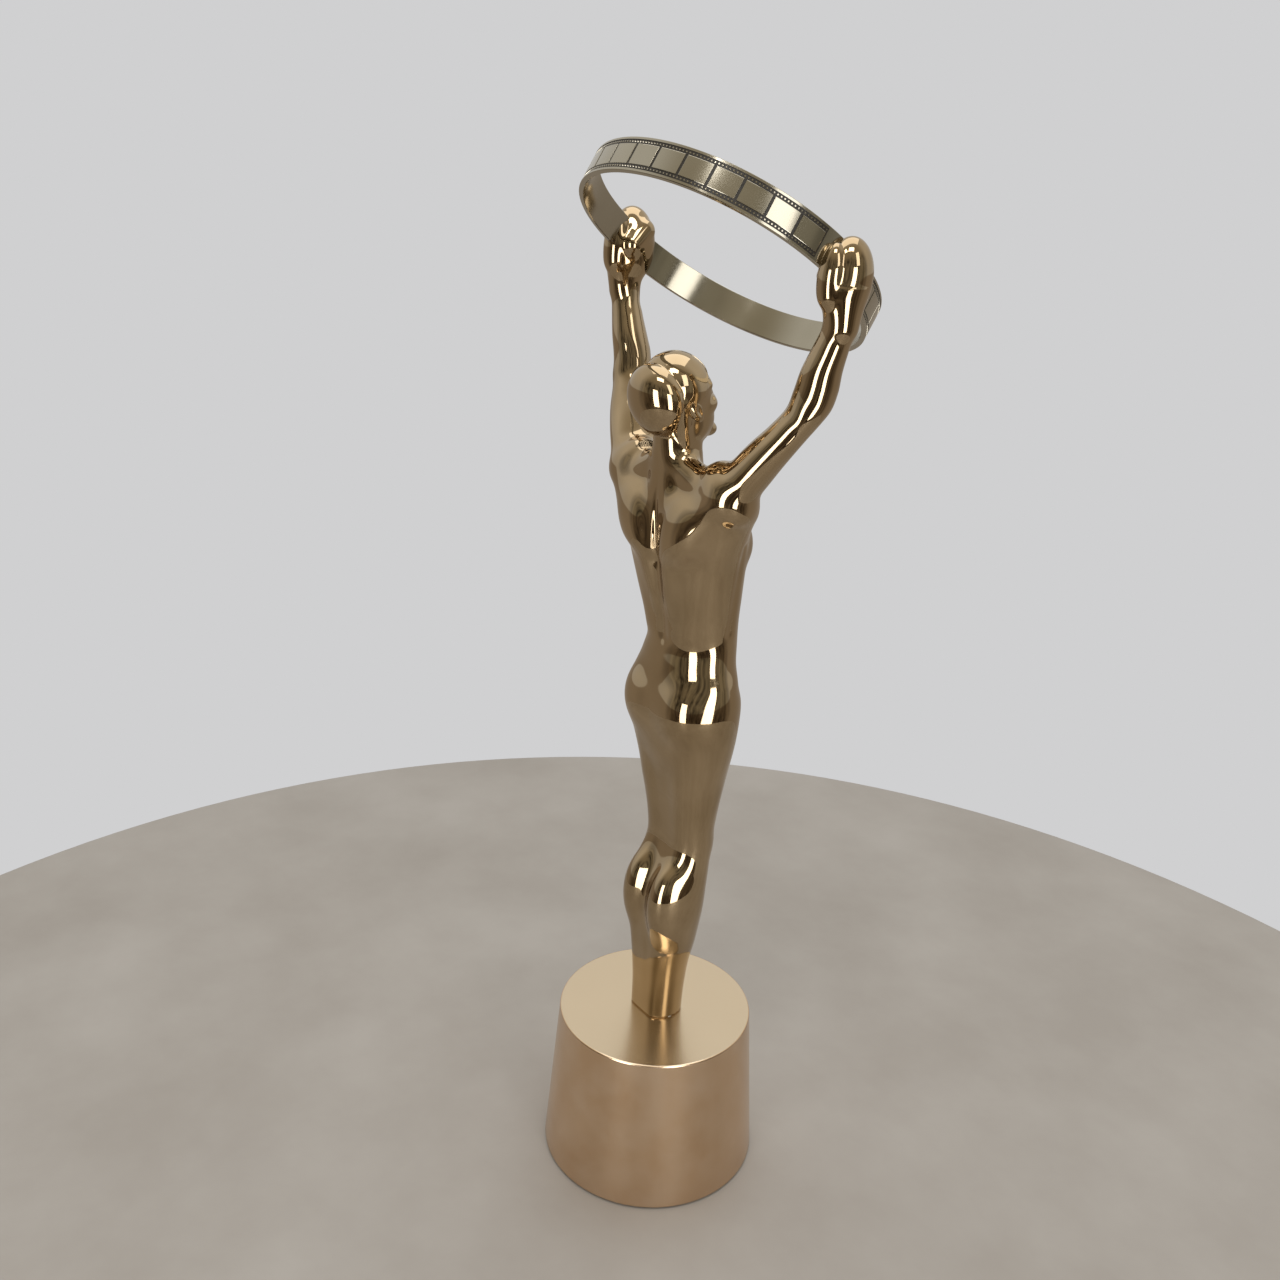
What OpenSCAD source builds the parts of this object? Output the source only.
// Figure trophy: a polished cast figure on a weighted drum holds up a ring of film strip.
// Millimetres, +Z up, origin at the centre of the rest face. The figure faces -Y, so its
// right hand is at -X.

/* [Base] */
// Height of the drum's top above the table
base_h = 67; // [60:1:80]
// Diameter of the drum's top
base_top_d = 80; // [76:1:90]
// Diameter of the drum's foot
base_bottom_d = 90; // [88:1:100]
// Thickness of the drum's side wall
wall = 3; // [2.5:0.5:4]
// Thickness of the drum's top
top_t = 6; // [5:0.5:8]
// How far the felt stands out below the rim
felt_proud = 0.6; // [0.4:0.1:1]

/* [Weight and fixings] */
// Diameter of the iron weight
slug_d = 54; // [40:1:54]
// Height of the iron weight
slug_h = 32; // [20:1:34]
// Diameter of the tie rod's thread
rod_d = 8; // [8:1:8]
// Number of screws that hold the bottom plate
plate_screw_n = 3; // [3:1:4]

/* [Ring] */
// Outer diameter of the ring
ring_d = 110; // [104:1:112]
// Width of the band
band_w = 11.8; // [10:0.2:13]
// Thickness of the band
band_t = 1.8; // [1.6:0.1:2.4]
// How far the rear of the ring is raised
ring_tilt = 32.4; // [28:0.2:34]
// Number of film frames on each half of the ring
frame_n = 15; // [8:1:20]

/* [Figure] */
// Height of the ring's centre above the drum's top
ring_up = 302.7; // [301:0.1:304]
// Diameter of the shoulder dowels
dowel_d = 5; // [4:0.5:6]
// How many times larger the left hand is than the right
left_hand = 1.2; // [1:0.05:1.2]

/* [Hidden] */
$fn = 96;
e = 0.01;

// Base, from the table up
felt_t = 2;
plate_t = 2.5;
plate_r = 41;
plate_z = felt_t;
recess_r = plate_r + 0.2;
recess_z = plate_z + plate_t;
cavity_z = base_h - top_t;
rim_bevel = 0.6;
lug_r = 4.5;
lug_ring_r = 33.4;
screw_d = 4;
screw_head_d = 7.6;
screw_head_h = 2;
screw_l = 12;

// Tie rod and what is on it
insert_r = 6;
insert_h = 22;
slug_z = cavity_z - slug_h;
washer_t = 2;
spring_t = 2.2;
nut_h = 6.5;
nut_af = 13;
nut_z = slug_z - washer_t - spring_t - nut_h;
rod_z = nut_z - 2.5;
rod_top = base_h + insert_h - 1;
pin_d = 3;
pin_x = 9.1;
pin_depth = 5;

// Ring and its film pattern
ring_y = -13;
ring_z = base_h + ring_up;
ring_r = ring_d / 2;
etch = 0.4;
fill = 0.2;
rail_w = 0.9;
perf_w = 1.5;
panel_start = 11.8;
panel_a = 180 - 2 * panel_start;
frame_pitch = panel_a / frame_n;
frame_gap_a = 0.9;
frame_h = band_w - 2 * (rail_w + perf_w);
grip_pin_d = 2;
grip_pin_l = 9;
grip_pin_a = 3.4;

// Sections of the body and head, each
// [height above the drum, back of axis, half width, half depth, backward lean of the section]
body_sections = [
    [0, 0, 12.5, 9.5, 0],
    [11, -0.7, 12.7, 9.8, 0],
    [25, -1, 14.2, 11, 0],
    [40, -0.8, 17.4, 13, 0],
    [51, -0.9, 18.8, 14.6, 0],
    [61, -1.6, 18.6, 15, 0],
    [70, -4.6, 17.4, 12.3, 0],
    [78, -7.2, 16.8, 10.2, 0],
    [91, -7.2, 18.4, 11, 0],
    [105, -6.8, 21, 12.8, 0],
    [121, -6.2, 24.2, 15.5, 0],
    [136, -4.2, 26.2, 18.2, 0],
    [147, -5, 24.6, 16.6, 0],
    [155, -6, 22.4, 15, 0],
    [164, -7.4, 20.6, 14, 0],
    [173, -7, 21, 14.6, 0],
    [185, -5, 24, 16, 0],
    [197, -3, 27.5, 17.8, 0],
    [209, -0.8, 30, 18.6, 0],
    [218, 0.6, 28.5, 16, 0],
    [225.5, 1.8, 20.5, 12, 2],
    [231.5, 3, 11, 9, 6],
    [236.5, 3.6, 8.2, 8.4, 12],
    [240.5, 3.8, 9.4, 10.6, 20],
    [245.5, 5.4, 12.4, 15, 22],
    [253, 8.1, 14, 17.4, 22],
    [260.5, 10.9, 12.8, 15.8, 22],
    [266.5, 13.3, 9, 11.4, 22],
    [270, 14.7, 4.2, 5.4, 22],
    [271, 15.1, 0.6, 0.8, 22]
];

// Sections of an arm from shoulder to knuckles, each
// [distance out, back of axis, height above the drum, radius across, radius front to back]
arm_sections = [
    [21, 4.2, 217.6, 10, 9.6],
    [29, 1.4, 227.4, 9.7, 9.4],
    [38, -3.2, 239, 7.6, 7.5],
    [45, -7.4, 249.2, 6.2, 6.2],
    [51, -10.8, 259, 6.7, 6.5],
    [54.6, -11.8, 268, 7.1, 7],
    [57.4, -12, 278, 6.1, 6.1],
    [58.6, -12, 286.5, 5.2, 5.4],
    [58, -12, 293, 7, 8],
    [56.9, -12, 300, 8.7, 10],
    [56.2, -12, 306, 8.2, 9.4],
    [55.8, -12, 311.5, 5.4, 6.2],
    [55.6, -12, 313.6, 1.2, 1.4]
];
wrist = [58.6, -12, 286.5, 0, 0];
seat = arm_sections[0];
arm_dir = [arm_sections[1][0] - seat[0], arm_sections[1][1] - seat[1],
           arm_sections[1][2] - seat[2]];
arm_lean = acos(arm_dir[2] / norm(arm_dir));
arm_swing = atan2(arm_dir[1], arm_dir[0]);
socket_r = 10.4;
socket_h = 30;
dowel_l = 16;

brass = "#cbb887";
rose_brass = "#d6b083";
steel = "#b9bcc0";
iron = "#55565a";
felt_green = "#2f3a33";
enamel_black = "#1a1815";

// Point between p1 and p2 on a smooth curve through all four
function curve_point(p0, p1, p2, p3, t) =
    0.5 * (2 * p1 + (p2 - p0) * t + (2 * p0 - 5 * p1 + 4 * p2 - p3) * t * t
    + (3 * p1 - p0 - 3 * p2 + p3) * t * t * t);

// A list of sections with n steps between each pair
function smooth_list(list, n) = let (last = len(list) - 1) [
    for (i = [0:last - 1], k = [0:n - 1])
        curve_point(list[max(i - 1, 0)], list[i], list[i + 1], list[min(i + 2, last)], k / n),
    list[last]
];

function unit(v) = v / norm(v);

// The sections of an arm with the part beyond the wrist scaled k times
function with_hand(list, k) = [for (s = list) s[2] > wrist[2] ? wrist + (s - wrist) * k : s];

// Closed skin over rings that all have the same number of points
module skin(rings) {
    n = len(rings[0]);
    m = len(rings);
    sides = [for (j = [0:m - 2], i = [0:n - 1])
        each [[j * n + i, (j + 1) * n + i, j * n + (i + 1) % n],
              [j * n + (i + 1) % n, (j + 1) * n + i, (j + 1) * n + (i + 1) % n]]];
    bottom = [for (i = [0:n - 1]) i];
    top = [for (i = [n - 1:-1:0]) (m - 1) * n + i];
    polyhedron(points = [for (r = rings) each r], faces = concat(sides, [bottom, top]));
}

// One elliptical section of the body, leaning back about X
function body_ring(s, n) = [for (i = [0:n - 1]) let (a = 360 * i / n)
    [s[2] * cos(a), s[1] + s[3] * sin(a) * cos(s[4]), base_h + s[0] - s[3] * sin(a) * sin(s[4])]];

// One section of an arm, square to the arm's own run
function arm_ring(list, j, n) = let (
    s = list[j],
    before = list[max(j - 1, 0)],
    after = list[min(j + 1, len(list) - 1)],
    along = j == 0 ? unit(arm_dir) : unit([for (k = [0:2]) after[k] - before[k]]),
    across = unit(cross([0, 1, 0], along)),
    depth = cross(along, across))
    [for (i = [0:n - 1]) let (a = 360 * i / n)
        [s[0], s[1], base_h + s[2]] + across * s[3] * cos(a) + depth * s[4] * sin(a)];

// Places its children at a shoulder seat, with +Z out along the arm
module at_shoulder(side) {
    mirror([side < 0 ? 1 : 0, 0, 0])
        translate([seat[0], seat[1], base_h + seat[2]])
            rotate([0, arm_lean, arm_swing]) children();
}

// Places its children on the ring's centre, with +Z along the ring's axis
module at_ring() {
    translate([0, ring_y, ring_z]) rotate([ring_tilt, 0, 0]) children();
}

// Part of a turned hoop between two radii and two heights
module hoop(r_in, r_out, height, start, angle) {
    rotate([0, 0, start]) rotate_extrude(angle = angle)
        translate([r_in, -height / 2]) square([r_out - r_in, height]);
}

module lug_places() {
    for (i = [0:plate_screw_n - 1])
        rotate([0, 0, 30 + 360 * i / plate_screw_n]) translate([lug_ring_r, 0, 0]) children();
}

module locating_places() {
    for (x = [-pin_x, pin_x]) translate([x, 0, base_h - pin_depth]) children();
}

module grip_places() {
    for (side = [0, 180], a = [-grip_pin_a, grip_pin_a])
        at_ring() rotate([0, 0, side + a]) translate([ring_r - band_t / 2, 0, 0])
            rotate([0, 90, 0]) children();
}

module grip_holes() {
    grip_places() cylinder(d = grip_pin_d, h = grip_pin_l, center = true, $fn = 32);
}

// Turned drum, open below, with a lug for each plate screw
module base_drum() {
    color(rose_brass) difference() {
        rotate_extrude(convexity = 4) polygon([
            [0, base_h], [base_top_d / 2 - rim_bevel, base_h], [base_top_d / 2, base_h - rim_bevel],
            [base_bottom_d / 2, felt_proud + rim_bevel],
            [base_bottom_d / 2 - rim_bevel, felt_proud], [recess_r, felt_proud],
            [recess_r, recess_z], [base_bottom_d / 2 - 2 * wall, recess_z],
            [base_top_d / 2 - wall, cavity_z], [0, cavity_z]]);
        translate([0, 0, cavity_z - 1]) cylinder(d = rod_d + 0.6, h = top_t + 2);
        locating_places() cylinder(d = pin_d, h = pin_depth + 1, $fn = 32);
    }
    color(rose_brass) lug_places() difference() {
        translate([0, 0, recess_z]) cylinder(r = lug_r, h = cavity_z - recess_z, $fn = 48);
        translate([0, 0, recess_z - 1]) cylinder(d = screw_d, h = screw_l + 1, $fn = 32);
    }
}

// Cast iron weight that hangs under the drum's top
module ballast_slug() {
    color(iron) translate([0, 0, slug_z]) difference() {
        cylinder(d = slug_d, h = slug_h);
        translate([0, 0, -1]) cylinder(d = rod_d + 0.6, h = slug_h + 2);
    }
}

// Pressed steel disc that closes the drum
module base_plate() {
    color(steel) difference() {
        translate([0, 0, plate_z]) cylinder(r = plate_r, h = plate_t);
        lug_places() {
            translate([0, 0, plate_z - 1]) cylinder(d = screw_d + 0.4, h = plate_t + 2, $fn = 32);
            translate([0, 0, plate_z]) cylinder(d1 = screw_head_d + 0.4, d2 = screw_d + 0.4,
                h = screw_head_h, $fn = 48);
        }
    }
}

module plate_screws() {
    color(steel) lug_places() translate([0, 0, plate_z]) difference() {
        union() {
            cylinder(d1 = screw_head_d, d2 = screw_d, h = screw_head_h, $fn = 48);
            cylinder(d = screw_d, h = screw_l, $fn = 32);
        }
        translate([0, 0, -e]) cylinder(d = 2.6, h = 1.4, $fn = 6);
    }
}

module felt_pad() {
    color(felt_green) cylinder(r = plate_r - 0.5, h = felt_t);
}

// Steel bush cast into the foot, threaded for the tie rod
module foot_insert() {
    color(steel) translate([0, 0, base_h]) difference() {
        cylinder(r = insert_r, h = insert_h, $fn = 6);
        translate([0, 0, -1]) cylinder(d = rod_d, h = insert_h, $fn = 48);
    }
}

module tie_rod() {
    color(steel) translate([0, 0, rod_z]) cylinder(d = rod_d, h = rod_top - rod_z - e, $fn = 48);
}

module flat_washer() {
    color(steel) translate([0, 0, slug_z - washer_t]) difference() {
        cylinder(d = 24, h = washer_t);
        translate([0, 0, -1]) cylinder(d = rod_d + 0.4, h = washer_t + 2);
    }
}

// Split ring that keeps the nut tight
module spring_washer() {
    color(steel) translate([0, 0, slug_z - washer_t - spring_t]) difference() {
        cylinder(d = 14.8, h = spring_t);
        translate([0, 0, -1]) cylinder(d = rod_d + 0.2, h = spring_t + 2);
        translate([0, -0.6, -1]) cube([10, 1.2, spring_t + 2]);
    }
}

module hex_nut() {
    color(steel) translate([0, 0, nut_z]) difference() {
        cylinder(d = nut_af / cos(30), h = nut_h, $fn = 6);
        translate([0, 0, -1]) cylinder(d = rod_d, h = nut_h + 2, $fn = 48);
    }
}

// Dowels that stop the figure turning on the drum
module locating_pins() {
    color(steel) locating_places() cylinder(d = pin_d, h = 2 * pin_depth - e, $fn = 32);
}

// Torso, legs and head in one casting
module figure_body() {
    color(brass) difference() {
        skin([for (s = smooth_list(body_sections, 2)) body_ring(s, 32)]);
        for (side = [-1, 1]) at_shoulder(side) {
            cylinder(r = socket_r, h = socket_h, $fn = 48);
            translate([0, 0, -dowel_l / 2]) cylinder(d = dowel_d, h = dowel_l, $fn = 32);
        }
        translate([0, 0, base_h - 1]) cylinder(r = insert_r, h = insert_h + 1, $fn = 6);
        locating_places() cylinder(d = pin_d, h = 2 * pin_depth, $fn = 32);
    }
}

// Arm with its hand closed round the band
module arm(side) {
    list = smooth_list(with_hand(arm_sections, side > 0 ? left_hand : 1), 3);
    color(brass) difference() {
        mirror([side < 0 ? 1 : 0, 0, 0])
            skin([for (j = [0:len(list) - 1]) arm_ring(list, j, 20)]);
        at_shoulder(side) translate([0, 0, -1])
            cylinder(d = dowel_d, h = dowel_l / 2 + 1, $fn = 32);
        at_ring() hoop(ring_r - band_t, ring_r, band_w, side < 0 ? 135 : -45, 90);
        grip_holes();
    }
}

module left_arm() { arm(1); }

module right_arm() { arm(-1); }

module shoulder_dowels() {
    color(steel) for (side = [-1, 1]) at_shoulder(side)
        translate([0, 0, -dowel_l / 2 + e]) cylinder(d = dowel_d, h = dowel_l - 2 * e, $fn = 32);
}

// The raised frames of one half of the ring
module frames(r_in, r_out) {
    for (i = [0:frame_n - 1])
        hoop(r_in, r_out, frame_h, panel_start + i * frame_pitch + frame_gap_a / 2,
            frame_pitch - frame_gap_a);
}

// Half of the ring, etched on the outside to leave rails and film frames
module half_band(start) {
    color(brass) difference() {
        at_ring() rotate([0, 0, start]) {
            difference() {
                hoop(ring_r - band_t, ring_r, band_w, 0, 180);
                hoop(ring_r - etch, ring_r + 1, band_w - 2 * rail_w, panel_start, panel_a);
            }
            frames(ring_r - etch - e, ring_r);
        }
        grip_holes();
    }
}

// Black enamel that lies in the etched ground between the frames
module half_enamel(start) {
    color(enamel_black) at_ring() rotate([0, 0, start]) difference() {
        hoop(ring_r - etch, ring_r - etch + fill, band_w - 2 * rail_w, panel_start, panel_a);
        frames(ring_r - 1, ring_r + 1);
    }
}

module ring_band_back() { half_band(0); }

module ring_band_front() { half_band(180); }

module enamel_back() { half_enamel(0); }

module enamel_front() { half_enamel(180); }

// Pins through each hand and the end of each half band
module grip_pins() {
    color(steel) grip_places()
        cylinder(d = grip_pin_d, h = grip_pin_l - 2 * e, center = true, $fn = 32);
}

base_drum();
ballast_slug();
base_plate();
plate_screws();
felt_pad();
foot_insert();
tie_rod();
flat_washer();
spring_washer();
hex_nut();
locating_pins();
figure_body();
left_arm();
right_arm();
shoulder_dowels();
ring_band_back();
ring_band_front();
enamel_back();
enamel_front();
grip_pins();
